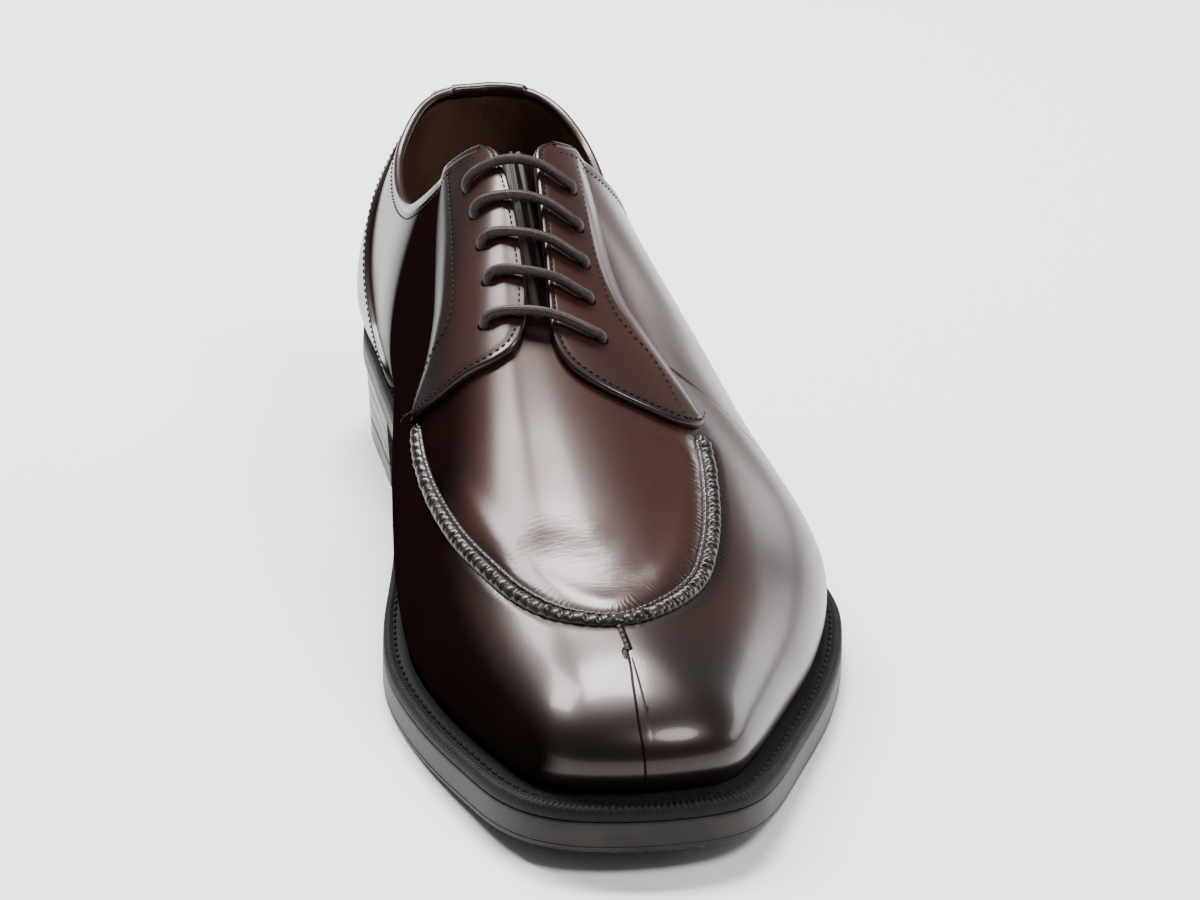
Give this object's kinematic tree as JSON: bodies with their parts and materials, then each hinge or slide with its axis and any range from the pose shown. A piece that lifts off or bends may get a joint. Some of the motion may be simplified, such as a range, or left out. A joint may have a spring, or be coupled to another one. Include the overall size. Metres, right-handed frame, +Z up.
{
  "type": "apron toe derby",
  "caption": "Left dress shoe with a hand-sewn apron, open lace facings, stitched welt, leather sole and stacked heel.",
  "frame": {"origin": "on the floor, under the middle of the heel's top piece", "axes": "+Z up, -Y towards the toe, +X towards the outer side of the left foot"},
  "size_m": [0.1138, 0.3059, 0.1086],
  "materials": {
    "upper_leather": "burnished dark oak calf, polished",
    "seam_leather": "gathered, hand sewn",
    "lining": "smooth brown lining",
    "welt_leather": "wheeled and stitched",
    "sole_leather": "waxed edge",
    "heel_leather": "waxed lifts",
    "heel_rubber": "satin",
    "lace": "round waxed cotton"
  },
  "bodies": {
    "root": {"outsole": "sole_leather", "welt": "welt_leather", "heel_stack": "heel_leather", "heel_top_piece": "heel_rubber", "insole": "lining", "upper": "upper_leather", "facing_inner": "upper_leather", "facing_outer": "upper_leather", "heel_counter": "upper_leather", "apron_seam": "seam_leather", "toe_seam": "seam_leather", "tongue": "upper_leather", "lace": "lace"}
  },
  "joints": []
}
